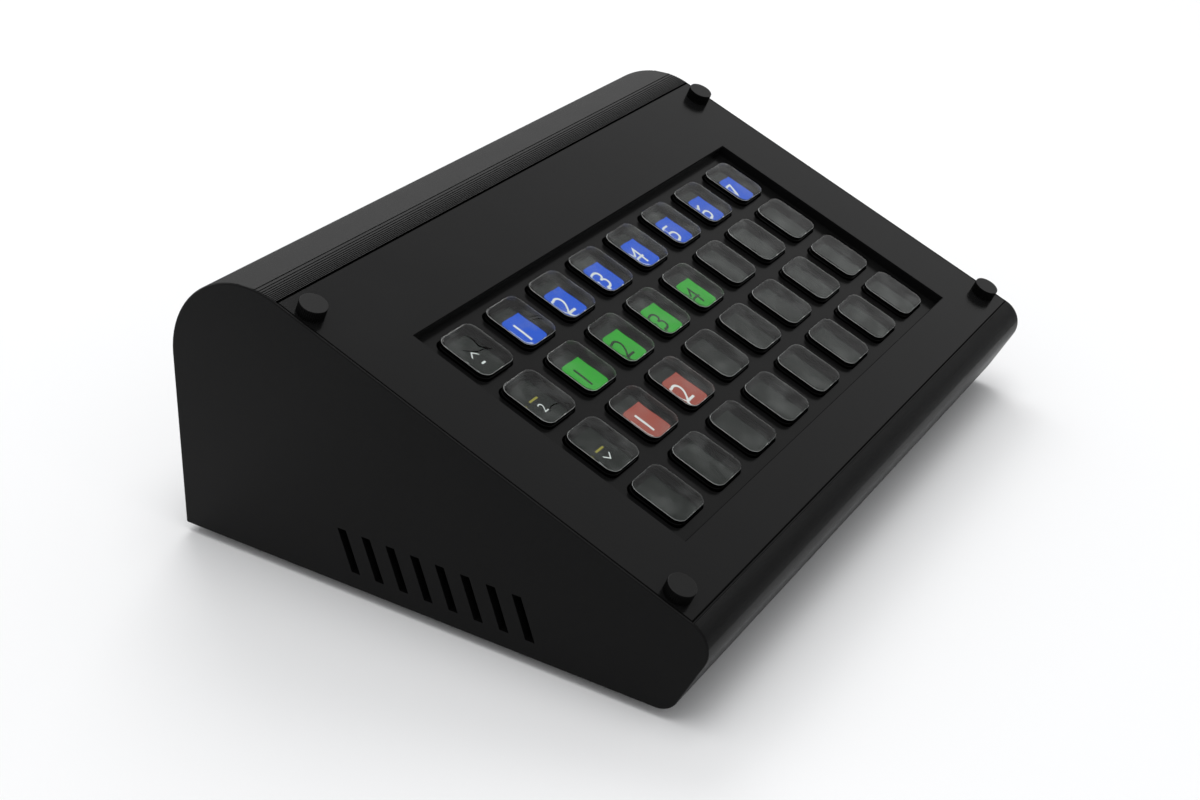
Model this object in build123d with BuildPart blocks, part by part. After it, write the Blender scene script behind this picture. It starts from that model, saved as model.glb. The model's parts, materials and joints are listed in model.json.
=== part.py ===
"""Desk console with a grid of clear display keys, in a 3D-printed wedge housing.

The frame has +Z up and +Y to the rear. Its origin is on the table, under the middle of the
housing. The key unit and the top plate are built on the sloping deck plane, whose origin is the
middle of the key grid on the plate's top face.
"""
from build123d import *
from math import cos, pi, radians, sin, tan
import os

os.makedirs("parts", exist_ok=True)


# Room that a cut takes past a face, and that a screw's tip has before the end of its hole
cut_margin = 1.0
tip_room = 0.5

# Housing shell
body_width = 207.0
body_depth = 155.6
deck_tilt = 22.0
nose_radius = 7.5
nose_height = 19.9
nose_lean = 26.0
crest_radius = 25.4
wall = 2.4
shelf_thickness = 3.0
front_foot_fillet = 6.0
rear_foot_fillet = 0.5
side_edge_fillet = 0.4

# Top plate
plate_thickness = 3.0
plate_lip = 0.45
plate_side_gap = 0.2
plate_front_gap = 0.2
plate_rear_gap = 0.45
plate_edge_chamfer = 0.25

# Thumbscrews and their inserts
thumb_head_radius = 3.65
thumb_head_height = 3.1
thumb_head_chamfer = 0.3
thumb_head_gap = 0.02
thumb_side_inset = 4.4
thumb_front_inset = 6.9
thumb_rear_inset = 6.9
thread_radius = 1.5
thread_length = 10.0
thread_clearance = 0.06
plate_hole_clearance = 0.25
insert_radius = 2.2
insert_length = 5.0
insert_clearance = 0.02
boss_wall = 1.5
boss_length = 9.5

# Key unit under the plate, and its insets from the housing's sides and the ends of the deck
unit_side_inset = 12.5
unit_front_inset = 0.5
unit_rear_inset = 12.6
unit_height = 19.0
unit_corner = 6.0
unit_gap = 0.5

# Window in the plate, by its insets from the key unit's edges
window_side_inset = 9.0
window_end_inset = 14.2

# Key grid, by its insets from the key unit's edges
key_columns = 8
key_rows = 4
grid_side_inset = 11.0
grid_end_inset = 16.0
cap_side_gap = 5.9
cap_end_gap = 3.8
cap_corner = 2.4
cap_below_plate = 1.0
cap_edge_chamfer = 0.3
cap_gap = 0.3
flange_side_width = 0.7
flange_end_width = 0.6
flange_thickness = 1.0
flange_clearance = 0.05
key_travel = 1.2
key_stop_gap = 0.1

# Pieces of the key unit, by their insets from its edges
face_thickness = 1.6
skirt_height = 6.0
unit_wall = 2.0
lattice_rib = 1.4
membrane_thickness = 0.8
membrane_side_bar_width = 5.0
membrane_end_bar_width = 3.0
screen_side_inset = 9.2
screen_end_inset = 8.2
screen_thickness = 1.75
screen_gap = 0.4
nest_wall = 1.5
backing_side_inset = 8.0
backing_end_inset = 7.0
backing_thickness = 0.8
board_thickness = 1.6
key_board_side_inset = 9.0
key_board_end_inset = 7.0
key_board_drop = 2.0
key_chip_height = 1.5
key_main_chip = 14.0
key_memory_width = 8.0
key_memory_length = 10.0
key_driver_width = 12.0
key_driver_length = 6.0
key_main_chip_from_left = 57.0
key_main_chip_from_front = 54.0
key_memory_from_left = 37.0
key_memory_from_front = 57.0
key_buffer_from_left = 77.0
key_buffer_from_front = 41.0
key_driver_from_left = 127.0
key_driver_from_front = 49.0
pillar_radius = 3.5
pillar_pin_radius = 1.4
pillar_hole_clearance = 0.2
pillar_columns = 3
pillar_rows = 2
pillar_side_inset = 29.0
pillar_end_inset = 20.0
unit_post_radius = 3.0
unit_post_inset = 5.0
unit_post_hole = 5.0
unit_screw_radius = 1.2
unit_screw_head_radius = 2.2
unit_screw_head_height = 1.6
unit_screw_length = 13.0
screw_fit = 0.05
rail_width = 13.6
rail_end_inset = 11.0
rail_thickness = 3.0

# Base, its screws and the feet
base_thickness = 3.0
base_gap = 0.2
base_boss_radius = 5.2
base_boss_height = 6.0
base_boss_inset = 4.6
base_boss_front_inset = 16.0
base_screw_radius = 1.5
base_screw_length = 8.0
base_screw_head_radius = 2.9
countersink_angle = 90.0
foot_height = 2.5
foot_radius = 6.0
foot_chamfer = 0.5
foot_side_inset = 18.0
foot_front_inset = 21.0
foot_rear_inset = 13.0

# Vents
vent_count = 8
vent_pitch = 7.42
vent_width = 2.65
vent_height = 11.7
vent_slant = 19.5
vent_bottom = 4.8
vent_from_rear = 54.6

# Computer board
computer_width = 70.0
computer_length = 84.0
computer_side_gap = 11.0
computer_rear_gap = 2.1
computer_corner = 3.0
standoff_height = 5.0
standoff_radius = 3.0
standoff_inset = 4.0
standoff_rear_inset = 24.0
board_screw_radius = 1.25
board_screw_head_radius = 2.3
board_screw_head_height = 1.5
board_screw_length = 6.0
socket_overhang = 3.4
socket_fit = 0.35
network_width = 16.0
network_height = 13.5
network_length = 21.3
network_mouth_width = 11.9
network_mouth_height = 8.0
network_mouth_depth = 14.0
network_from_side = 13.0
usb_width = 13.2
usb_height = 15.6
usb_length = 17.5
usb_mouth_width = 12.0
usb_mouth_height = 4.9
usb_mouth_depth = 13.0
usb_mouth_spacing = 7.8
usb_tongue_width = 11.0
usb_tongue_height = 1.9
usb_from_side = 35.0
power_width = 9.0
power_height = 3.3
power_length = 7.4
power_rim = 0.35
power_back = 1.0
power_from_side = 54.0
chip_thickness = 2.0
main_chip = 15.0
main_chip_from_left = 29.0
main_chip_from_front = 30.0
memory_width = 12.0
memory_length = 9.0
memory_from_left = 27.0
memory_from_front = 52.0
card_width = 12.0
card_length = 11.0
card_from_left = 13.0
card_from_front = 10.0
heat_sink_size = 20.0
heat_sink_base = 2.0
heat_sink_fin_height = 6.0
heat_sink_fins = 6
heat_sink_fin_thickness = 1.0
header_width = 6.0
header_length = 12.0
header_height = 5.0
header_wall = 0.7
header_side_inset = 4.0
header_from_rear = 14.0

# Inner lead and its plugs
lead_radius = 1.6
lead_bend_share = 0.45
lead_first_run = 16.0
lead_last_run = 16.0
lead_sideways = 30.0
lead_rearward = 7.5
lead_drop = 5.0
lead_socket_x = 25.0
lead_socket_width = 9.0
lead_socket_height = 3.2
lead_socket_length = 7.5
lead_socket_wall = 0.35
lead_socket_in_wall = 0.5
case_slot_gap = 0.3
tip_depth = 6.0
tip_clearance = 0.1
tip_end_gap = 0.4
elbow_width = 17.0
elbow_length = 10.0
elbow_height = 6.6
elbow_overhang = 6.0
elbow_fillet = 1.5
elbow_gap = 0.3
header_tip_depth = 3.5
header_plug_height = 8.0


# Frame of the profile, worked out from the driving sizes
tilt = radians(deck_tilt)
lean = radians(nose_lean)
underside = foot_height
front = -body_depth / 2
rear = body_depth / 2
nose_y = front + nose_radius
nose_z = underside + nose_height
deck_level = cos(tilt) * nose_z - sin(tilt) * nose_y + nose_radius
crest_y = rear - crest_radius
crest_z = (deck_level - crest_radius + sin(tilt) * crest_y) / cos(tilt)
deck_front_y = nose_y - nose_radius * sin(tilt)
deck_front_z = nose_z + nose_radius * cos(tilt)
deck_length = (crest_y - nose_y) * cos(tilt) + (crest_z - nose_z) * sin(tilt)

# Sizes of the key unit, which fills the housing between its insets
unit_width = body_width - 2 * unit_side_inset
unit_length = deck_length - unit_front_inset - unit_rear_inset
grid_from_front = unit_front_inset + unit_length / 2
window_width = unit_width - 2 * window_side_inset
window_length = unit_length - 2 * window_end_inset
column_width = (unit_width - 2 * grid_side_inset) / key_columns
row_length = (unit_length - 2 * grid_end_inset) / key_rows
cap_width = column_width - cap_side_gap
cap_length = row_length - cap_end_gap
flange_width = cap_width + 2 * flange_side_width
flange_length = cap_length + 2 * flange_end_width
membrane_window_width = column_width - membrane_side_bar_width
membrane_window_length = row_length - membrane_end_bar_width
screen_width = unit_width - 2 * screen_side_inset
screen_length = unit_length - 2 * screen_end_inset
backing_width = unit_width - 2 * backing_side_inset
backing_length = unit_length - 2 * backing_end_inset
key_board_width = unit_width - 2 * key_board_side_inset
key_board_length = unit_length - 2 * key_board_end_inset
rail_length = unit_length - 2 * rail_end_inset

deck = Plane(
    origin=(
        0,
        deck_front_y + grid_from_front * cos(tilt),
        deck_front_z + grid_from_front * sin(tilt),
    ),
    x_dir=(1, 0, 0),
    z_dir=(0, -sin(tilt), cos(tilt)),
)

# Depths below the plate's top face
face_depth = plate_thickness
cap_top_depth = cap_below_plate
face_back_depth = face_depth + face_thickness
flange_top_depth = face_back_depth + flange_clearance
flange_back_depth = flange_top_depth + flange_thickness
membrane_depth = flange_back_depth + key_travel + key_stop_gap
screen_depth = membrane_depth + membrane_thickness
backing_depth = screen_depth + screen_thickness
key_board_depth = backing_depth + backing_thickness + key_board_drop
unit_back_depth = face_depth + unit_height
skirt_depth = face_back_depth + skirt_height

# Plate and thumbscrew places on the deck plane
plate_width = body_width - 2 * (plate_lip + plate_side_gap)
plate_length = deck_length - plate_front_gap
plate_middle = plate_front_gap + plate_length / 2 - grid_from_front
thumb_x = plate_width / 2 - thumb_side_inset
thumb_front = -grid_from_front + plate_front_gap + thumb_front_inset
thumb_rear = deck_length - grid_from_front - thumb_rear_inset
thumb_places = {
    "front_left": (-thumb_x, thumb_front),
    "front_right": (thumb_x, thumb_front),
    "rear_left": (-thumb_x, thumb_rear),
    "rear_right": (thumb_x, thumb_rear),
}

# Key places on the deck plane, row 1 at the rear and column 1 at the left
key_places = {
    (row, column): (
        (column - (key_columns + 1) / 2) * column_width,
        ((key_rows + 1) / 2 - row) * row_length,
    )
    for row in range(1, key_rows + 1)
    for column in range(1, key_columns + 1)
}

# Places on the base
base_top = underside + base_thickness
inner_x = body_width / 2 - wall
inner_rear = rear - wall
boss_x = inner_x - base_boss_inset
base_boss_places = [
    (side * boss_x, y)
    for side in (-1, 1)
    for y in (front + base_boss_front_inset, inner_rear - base_boss_inset)
]
foot_places = [
    (side * (body_width / 2 - foot_side_inset), y)
    for side in (-1, 1)
    for y in (front + foot_front_inset, rear - foot_rear_inset)
]

# Places of the computer board, whose sockets face the rear wall
computer_left = -inner_x + computer_side_gap
computer_rear = inner_rear - computer_rear_gap
computer_x = computer_left + computer_width / 2
computer_y = computer_rear - computer_length / 2
computer_bottom = base_top + standoff_height
computer_top = computer_bottom + board_thickness
socket_face = computer_rear + socket_overhang
network_x = computer_left + network_from_side
usb_x = computer_left + usb_from_side
power_x = computer_left + power_from_side
standoff_places = [
    (x, y)
    for x in (computer_left + standoff_inset, computer_left + computer_width - standoff_inset)
    for y in (computer_rear - computer_length + standoff_inset, computer_rear - standoff_rear_inset)
]


def write(piece, name):
    """Label a finished piece and write its file."""
    piece.label = name
    export_step(piece, f"parts/{name}.step")


def rear_facing(x, y, depth):
    """Plane that faces the upper end of the deck, at a place on the deck and its depth."""
    origin = deck.from_local_coords(Vector(x, y, -depth))
    return Plane(origin=origin, x_dir=(1, 0, 0), z_dir=deck.y_dir)


def side_profile(inset, drop):
    """Side view of the housing, drawn inset from its skin and reaching drop below its underside."""
    nose = nose_radius - inset
    crest = crest_radius - inset
    low_z = underside - drop
    nose_low = (nose_y - nose * cos(lean), nose_z - nose * sin(lean))
    nose_top = (nose_y - nose * sin(tilt), nose_z + nose * cos(tilt))
    crest_top = (crest_y - crest * sin(tilt), crest_z + crest * cos(tilt))
    low_front = (nose_low[0] + (nose_low[1] - low_z) * tan(lean), low_z)
    low_rear = (rear - inset, low_z)
    with BuildSketch() as outline:
        with BuildLine():
            Line(low_front, nose_low)
            CenterArc((nose_y, nose_z), nose, 90 + deck_tilt, 90 + nose_lean - deck_tilt)
            Line(nose_top, crest_top)
            CenterArc((crest_y, crest_z), crest, 0, 90 + deck_tilt)
            Line((rear - inset, crest_z), low_rear)
            Line(low_rear, low_front)
        make_face()
    return outline.sketch


# Room inside the housing, up to the shelf that carries the plate
with BuildPart() as hollow:
    with BuildSketch(Plane.YZ):
        add(side_profile(wall, cut_margin))
    extrude(amount=inner_x, both=True)
    split(bisect_by=deck.offset(-plate_thickness - shelf_thickness), keep=Keep.BOTTOM)

# Housing shell
with BuildPart() as shell:
    with BuildSketch(Plane.YZ) as skin:
        add(side_profile(0, 0))
        fillet(skin.vertices().group_by(Axis.Y)[0].sort_by(Axis.X)[0], front_foot_fillet)
        fillet(skin.vertices().group_by(Axis.Y)[0].sort_by(Axis.X)[-1], rear_foot_fillet)
    extrude(amount=body_width / 2, both=True)
    side_edges = shell.edges().group_by(Axis.X)
    fillet(side_edges[0] + side_edges[-1], side_edge_fillet)
    add(hollow.part, mode=Mode.SUBTRACT)
    # Bosses under the shelf for the thumbscrews
    with BuildSketch(deck.offset(-plate_thickness)):
        with Locations(*thumb_places.values()):
            Circle(insert_radius + boss_wall)
    extrude(amount=-boss_length)
    # Rails on the side walls that carry the key unit
    with BuildSketch(deck.offset(-unit_back_depth)):
        with GridLocations(2 * (inner_x - rail_width / 2) + wall, 0, 2, 1):
            Rectangle(rail_width + wall, rail_length)
    extrude(amount=-rail_thickness)
    # Bosses for the base screws
    with BuildSketch(Plane.XY.offset(base_top)):
        with Locations(*base_boss_places):
            Circle(base_boss_radius)
    extrude(amount=base_boss_height)
    # Recess for the plate and pocket for the key unit
    with BuildSketch(deck.offset(-plate_thickness)):
        with Locations((0, deck_length / 2 - grid_from_front + plate_rear_gap / 2)):
            Rectangle(plate_width + 2 * plate_side_gap, deck_length + plate_rear_gap)
    extrude(amount=plate_thickness + cut_margin, mode=Mode.SUBTRACT)
    with BuildSketch(deck.offset(-plate_thickness)):
        RectangleRounded(unit_width + 2 * unit_gap, unit_length + 2 * unit_gap, unit_corner)
    extrude(amount=-shelf_thickness - cut_margin, mode=Mode.SUBTRACT)
    # Holes for the inserts and the screw tips below them
    with BuildSketch(deck.offset(-plate_thickness)):
        with Locations(*thumb_places.values()):
            Circle(insert_radius + insert_clearance)
    extrude(amount=-insert_length, mode=Mode.SUBTRACT)
    with BuildSketch(deck.offset(-plate_thickness)):
        with Locations(*thumb_places.values()):
            Circle(thread_radius + thread_clearance)
    extrude(amount=plate_thickness - thread_length - tip_room, mode=Mode.SUBTRACT)
    # Holes for the base screws
    with BuildSketch(Plane.XY.offset(base_top)):
        with Locations(*base_boss_places):
            Circle(base_screw_radius + screw_fit)
    extrude(amount=base_screw_length - base_thickness + tip_room, mode=Mode.SUBTRACT)
    # Slanted vents, low on both sides
    vent_shift = vent_height * tan(radians(vent_slant))
    vent_places = [
        (rear - vent_from_rear - index * vent_pitch, underside + vent_bottom + vent_height / 2)
        for index in range(vent_count)
    ]
    for side in (-1, 1):
        with BuildSketch(Plane.YZ.offset(side * body_width / 2)):
            with Locations(*vent_places):
                Polygon(
                    (-vent_shift / 2 - vent_width / 2, -vent_height / 2),
                    (-vent_shift / 2 + vent_width / 2, -vent_height / 2),
                    (vent_shift / 2 + vent_width / 2, vent_height / 2),
                    (vent_shift / 2 - vent_width / 2, vent_height / 2),
                )
        extrude(amount=-side * (wall + cut_margin), mode=Mode.SUBTRACT)
    # Openings in the rear wall for the sockets
    with BuildSketch(Plane.XZ.offset(-rear)):
        with Locations((network_x, computer_top + network_height / 2)):
            Rectangle(network_width + 2 * socket_fit, network_height + 2 * socket_fit)
        with Locations((usb_x, computer_top + usb_height / 2)):
            Rectangle(usb_width + 2 * socket_fit, usb_height + 2 * socket_fit)
        with Locations((power_x, computer_top + power_height / 2)):
            SlotOverall(power_width + 2 * socket_fit, power_height + 2 * socket_fit)
    extrude(amount=wall + cut_margin, mode=Mode.SUBTRACT)
write(shell.part, "housing_shell")

# Top plate with its window
with BuildPart() as top_plate:
    with BuildSketch(deck.offset(-plate_thickness)):
        with Locations((0, plate_middle)):
            Rectangle(plate_width, plate_length)
        Rectangle(window_width, window_length, mode=Mode.SUBTRACT)
        with Locations(*thumb_places.values()):
            Circle(thread_radius + plate_hole_clearance, mode=Mode.SUBTRACT)
    extrude(amount=plate_thickness)
    upper_face = top_plate.faces().sort_by(Axis(deck.origin, deck.z_dir))[-1]
    chamfer(upper_face.edges().filter_by(GeomType.LINE), plate_edge_chamfer)
write(top_plate.part, "top_plate")

# Thumbscrews, one node for each because each one turns
for place, (x, y) in thumb_places.items():
    with BuildPart() as thumbscrew:
        with BuildSketch(deck.offset(thumb_head_gap)):
            with Locations((x, y)):
                Circle(thumb_head_radius)
        extrude(amount=thumb_head_height)
        crown = thumbscrew.faces().sort_by(Axis(deck.origin, deck.z_dir))[-1]
        chamfer(crown.edges(), thumb_head_chamfer)
        with BuildSketch(deck.offset(thumb_head_gap)):
            with Locations((x, y)):
                Circle(thread_radius)
        extrude(amount=-thread_length)
    write(thumbscrew.part, f"thumbscrew_{place}")

# Threaded inserts in the shell
with BuildPart() as inserts:
    with BuildSketch(deck.offset(-plate_thickness)):
        with Locations(*thumb_places.values()):
            Circle(insert_radius)
            Circle(thread_radius + thread_clearance, mode=Mode.SUBTRACT)
    extrude(amount=-insert_length)
write(inserts.part, "threaded_inserts")

# Face frame of the key unit: one hole for each key, a skirt, and ribs that hold the membrane down
nest_width = screen_width + screen_gap
nest_length = screen_length + screen_gap
post_x = unit_width / 2 - unit_post_inset
post_y = unit_length / 2 - unit_post_inset
with BuildPart() as key_frame:
    with BuildSketch(deck.offset(-face_depth)):
        RectangleRounded(unit_width, unit_length, unit_corner)
    extrude(amount=-face_thickness)
    with BuildSketch(deck.offset(-face_back_depth)):
        RectangleRounded(unit_width, unit_length, unit_corner)
        RectangleRounded(
            unit_width - 2 * unit_wall,
            unit_length - 2 * unit_wall,
            unit_corner - unit_wall,
            mode=Mode.SUBTRACT,
        )
        with GridLocations(2 * post_x, 2 * post_y, 2, 2):
            Circle(unit_post_radius)
    extrude(amount=-skirt_height)
    with BuildSketch(deck.offset(-face_back_depth)):
        Rectangle(nest_width + 2 * nest_wall, nest_length + 2 * nest_wall)
        Rectangle(nest_width, nest_length, mode=Mode.SUBTRACT)
    extrude(amount=face_back_depth - backing_depth)
    with BuildSketch(deck.offset(-face_back_depth)):
        with GridLocations(column_width, 0, key_columns - 1, 1):
            Rectangle(lattice_rib, nest_length)
        with GridLocations(0, row_length, 1, key_rows - 1):
            Rectangle(nest_width, lattice_rib)
    extrude(amount=face_back_depth - membrane_depth)
    with BuildSketch(deck.offset(-face_depth)):
        with Locations(*key_places.values()):
            RectangleRounded(cap_width + 2 * cap_gap, cap_length + 2 * cap_gap, cap_corner + cap_gap)
    extrude(amount=-face_thickness, mode=Mode.SUBTRACT)
    with BuildSketch(deck.offset(-skirt_depth)):
        with GridLocations(2 * post_x, 2 * post_y, 2, 2):
            Circle(unit_screw_radius + screw_fit)
    extrude(amount=unit_post_hole, mode=Mode.SUBTRACT)
write(key_frame.part, "key_frame")

# Key caps, each a clear block with a flange that stops it under the face frame
for (row, column), (x, y) in key_places.items():
    with BuildPart() as cap:
        with BuildSketch(deck.offset(-flange_back_depth)):
            with Locations((x, y)):
                RectangleRounded(cap_width, cap_length, cap_corner)
        extrude(amount=flange_back_depth - cap_top_depth)
        cap_face = cap.faces().sort_by(Axis(deck.origin, deck.z_dir))[-1]
        chamfer(cap_face.edges(), cap_edge_chamfer)
        with BuildSketch(deck.offset(-flange_back_depth)):
            with Locations((x, y)):
                RectangleRounded(flange_width, flange_length, cap_corner)
        extrude(amount=flange_thickness)
    write(cap.part, f"key_r{row}_c{column}")

# Rubber membrane with one window for each key
with BuildPart() as membrane:
    with BuildSketch(deck.offset(-membrane_depth)):
        Rectangle(screen_width, screen_length)
        with Locations(*key_places.values()):
            Rectangle(membrane_window_width, membrane_window_length, mode=Mode.SUBTRACT)
    extrude(amount=-membrane_thickness)
write(membrane.part, "key_membrane")

# Display panel and its metal backing
with BuildPart() as screen:
    with BuildSketch(deck.offset(-screen_depth)):
        Rectangle(screen_width, screen_length)
    extrude(amount=-screen_thickness)
write(screen.part, "display_panel")

with BuildPart() as backing:
    with BuildSketch(deck.offset(-backing_depth)):
        Rectangle(backing_width, backing_length)
    extrude(amount=-backing_thickness)
write(backing.part, "display_backing")

# Key circuit board on the pillars of the rear case
pillar_places = GridLocations(
    (unit_width - 2 * pillar_side_inset) / (pillar_columns - 1),
    (unit_length - 2 * pillar_end_inset) / (pillar_rows - 1),
    pillar_columns,
    pillar_rows,
).locations
with BuildPart() as key_board:
    with BuildSketch(deck.offset(-key_board_depth)):
        Rectangle(key_board_width, key_board_length)
        with Locations(*pillar_places):
            Circle(pillar_pin_radius + pillar_hole_clearance, mode=Mode.SUBTRACT)
    extrude(amount=-board_thickness)
write(key_board.part, "key_board")

# Chips on the back of the key board
key_board_back = key_board_depth + board_thickness
board_left = -key_board_width / 2
board_front = -key_board_length / 2
memory_places = [
    (board_left + key_memory_from_left, board_front + key_memory_from_front),
    (board_left + key_buffer_from_left, board_front + key_buffer_from_front),
]
with BuildPart() as key_chips:
    with BuildSketch(deck.offset(-key_board_back)):
        with Locations(
            (board_left + key_main_chip_from_left, board_front + key_main_chip_from_front)
        ):
            Rectangle(key_main_chip, key_main_chip)
        with Locations(*memory_places):
            Rectangle(key_memory_width, key_memory_length)
        with Locations((board_left + key_driver_from_left, board_front + key_driver_from_front)):
            Rectangle(key_driver_width, key_driver_length)
    extrude(amount=-key_chip_height)
write(key_chips.part, "key_board_chips")

# Metal socket on the back of the key board, open to the rear
socket_end = unit_length / 2 - unit_wall + lead_socket_in_wall
socket_middle_depth = key_board_back + lead_socket_height / 2
socket_mouth_width = lead_socket_width - 2 * lead_socket_wall
socket_mouth_height = lead_socket_height - 2 * lead_socket_wall
with BuildPart() as key_socket:
    with BuildSketch(rear_facing(lead_socket_x, socket_end, socket_middle_depth)):
        SlotOverall(lead_socket_width, lead_socket_height)
    extrude(amount=-lead_socket_length)
    with BuildSketch(rear_facing(lead_socket_x, socket_end, socket_middle_depth)):
        SlotOverall(socket_mouth_width, socket_mouth_height)
    extrude(amount=-tip_depth - tip_end_gap, mode=Mode.SUBTRACT)
write(key_socket.part, "key_board_socket")

# Rear case of the key unit: a tub with pillars for the board and posts for its screws
with BuildPart() as key_case:
    with BuildSketch(deck.offset(-skirt_depth)):
        RectangleRounded(unit_width, unit_length, unit_corner)
    extrude(amount=skirt_depth - unit_back_depth)
    with BuildSketch(deck.offset(-skirt_depth)):
        RectangleRounded(
            unit_width - 2 * unit_wall, unit_length - 2 * unit_wall, unit_corner - unit_wall
        )
    extrude(amount=skirt_depth - unit_back_depth + unit_wall, mode=Mode.SUBTRACT)
    with BuildSketch(deck.offset(-unit_back_depth)):
        with Locations(*pillar_places):
            Circle(pillar_radius)
    extrude(amount=unit_back_depth - key_board_back)
    with BuildSketch(deck.offset(-unit_back_depth)):
        with Locations(*pillar_places):
            Circle(pillar_pin_radius)
    extrude(amount=unit_back_depth - backing_depth - backing_thickness)
    with BuildSketch(deck.offset(-unit_back_depth)):
        with GridLocations(2 * post_x, 2 * post_y, 2, 2):
            Circle(unit_post_radius)
    extrude(amount=unit_back_depth - skirt_depth)
    with BuildSketch(deck.offset(-unit_back_depth)):
        with GridLocations(2 * post_x, 2 * post_y, 2, 2):
            Circle(unit_screw_radius + screw_fit)
    extrude(amount=unit_back_depth - skirt_depth, mode=Mode.SUBTRACT)
    with BuildSketch(deck.offset(-unit_back_depth)):
        with GridLocations(2 * post_x, 2 * post_y, 2, 2):
            Circle(unit_screw_head_radius + screw_fit)
    extrude(amount=unit_screw_head_height, mode=Mode.SUBTRACT)
    with BuildSketch(rear_facing(lead_socket_x, unit_length / 2, socket_middle_depth)):
        SlotOverall(
            lead_socket_width + 2 * case_slot_gap, lead_socket_height + 2 * case_slot_gap
        )
    extrude(amount=-unit_wall - cut_margin, mode=Mode.SUBTRACT)
write(key_case.part, "key_case")

# Screws that close the key unit
with BuildPart() as case_screws:
    with BuildSketch(deck.offset(-unit_back_depth)):
        with GridLocations(2 * post_x, 2 * post_y, 2, 2):
            Circle(unit_screw_head_radius)
    extrude(amount=unit_screw_head_height)
    with BuildSketch(deck.offset(-unit_back_depth)):
        with GridLocations(2 * post_x, 2 * post_y, 2, 2):
            Circle(unit_screw_radius)
    extrude(amount=unit_screw_length)
write(case_screws.part, "key_case_screws")

# Base plate with standoffs for the computer board
with BuildPart() as base_plate:
    with BuildSketch(Plane.YZ):
        add(side_profile(wall + base_gap, 0))
    extrude(amount=inner_x - base_gap, both=True)
    split(bisect_by=Plane.XY.offset(base_top), keep=Keep.BOTTOM)
    with BuildSketch(Plane.XY.offset(base_top)):
        with Locations(*standoff_places):
            Circle(standoff_radius)
    extrude(amount=standoff_height)
    with BuildSketch(Plane.XY.offset(computer_bottom)):
        with Locations(*standoff_places):
            Circle(board_screw_radius + screw_fit)
    extrude(amount=-standoff_height, mode=Mode.SUBTRACT)
    with Locations(Plane.XY.offset(underside)):
        with Locations(*[Location((x, y, 0), (180, 0, 0)) for x, y in base_boss_places]):
            CounterSinkHole(
                radius=base_screw_radius + screw_fit,
                counter_sink_radius=base_screw_head_radius + screw_fit,
                depth=base_thickness,
                counter_sink_angle=countersink_angle,
            )
write(base_plate.part, "base_plate")

# Base screws: countersunk, driven up into the bosses
with BuildPart() as base_screws:
    with BuildSketch(Plane.XY.offset(underside)):
        with Locations(*base_boss_places):
            Circle(base_screw_head_radius)
    extrude(amount=base_screw_head_radius - base_screw_radius, taper=countersink_angle / 2)
    with BuildSketch(Plane.XY.offset(underside)):
        with Locations(*base_boss_places):
            Circle(base_screw_radius)
    extrude(amount=base_screw_length)
write(base_screws.part, "base_screws")

# Rubber feet
with BuildPart() as feet:
    with BuildSketch(Plane.XY):
        with Locations(*foot_places):
            Circle(foot_radius)
    extrude(amount=foot_height)
    chamfer(feet.edges().group_by(Axis.Z)[0], foot_chamfer)
write(feet.part, "rubber_feet")

# Computer board on the base's standoffs
with BuildPart() as computer:
    with BuildSketch(Plane.XY.offset(computer_bottom)):
        with Locations((computer_x, computer_y)):
            RectangleRounded(computer_width, computer_length, computer_corner)
        with Locations(*standoff_places):
            Circle(board_screw_radius + pillar_hole_clearance, mode=Mode.SUBTRACT)
    extrude(amount=board_thickness)
write(computer.part, "computer_board")

# Chips, header and card slot on the computer board
header_x = computer_left + computer_width - header_side_inset
header_y = computer_rear - header_from_rear
computer_front = computer_rear - computer_length
sink_x = computer_left + main_chip_from_left
sink_y = computer_front + main_chip_from_front
with BuildPart() as computer_parts:
    with BuildSketch(Plane.XY.offset(computer_top)):
        with Locations((sink_x, sink_y)):
            Rectangle(main_chip, main_chip)
        with Locations((computer_left + memory_from_left, computer_front + memory_from_front)):
            Rectangle(memory_width, memory_length)
        with Locations((computer_left + card_from_left, computer_front + card_from_front)):
            Rectangle(card_width, card_length)
    extrude(amount=chip_thickness)
    with BuildSketch(Plane.XY.offset(computer_top)):
        with Locations((header_x, header_y)):
            Rectangle(header_width, header_length)
    extrude(amount=header_height)
    with BuildSketch(Plane.XY.offset(computer_top + header_height)):
        with Locations((header_x, header_y)):
            Rectangle(header_width - 2 * header_wall, header_length - 2 * header_wall)
    extrude(amount=-header_tip_depth - tip_end_gap, mode=Mode.SUBTRACT)
write(computer_parts.part, "computer_parts")

# Heat sink on the main chip
fin_step = (heat_sink_size - heat_sink_fin_thickness) / (heat_sink_fins - 1)
with BuildPart() as heat_sink:
    with BuildSketch(Plane.XY.offset(computer_top + chip_thickness)):
        with Locations((sink_x, sink_y)):
            Rectangle(heat_sink_size, heat_sink_size)
    extrude(amount=heat_sink_base)
    with BuildSketch(Plane.XY.offset(computer_top + chip_thickness + heat_sink_base)):
        with Locations((sink_x, sink_y)):
            with GridLocations(fin_step, 0, heat_sink_fins, 1):
                Rectangle(heat_sink_fin_thickness, heat_sink_size)
    extrude(amount=heat_sink_fin_height)
write(heat_sink.part, "heat_sink")


def socket_box(x, width, height, length):
    """Solid block of a socket that stands on the computer board and faces the rear."""
    with BuildPart() as block:
        with BuildSketch(Plane.XZ.offset(-socket_face)):
            with Locations((x, computer_top + height / 2)):
                Rectangle(width, height)
        extrude(amount=length)
    return block.part


# Network socket
with BuildPart() as network_socket:
    add(socket_box(network_x, network_width, network_height, network_length))
    with BuildSketch(Plane.XZ.offset(-socket_face)):
        with Locations((network_x, computer_top + network_height / 2)):
            Rectangle(network_mouth_width, network_mouth_height)
    extrude(amount=network_mouth_depth, mode=Mode.SUBTRACT)
write(network_socket.part, "network_socket")

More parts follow.
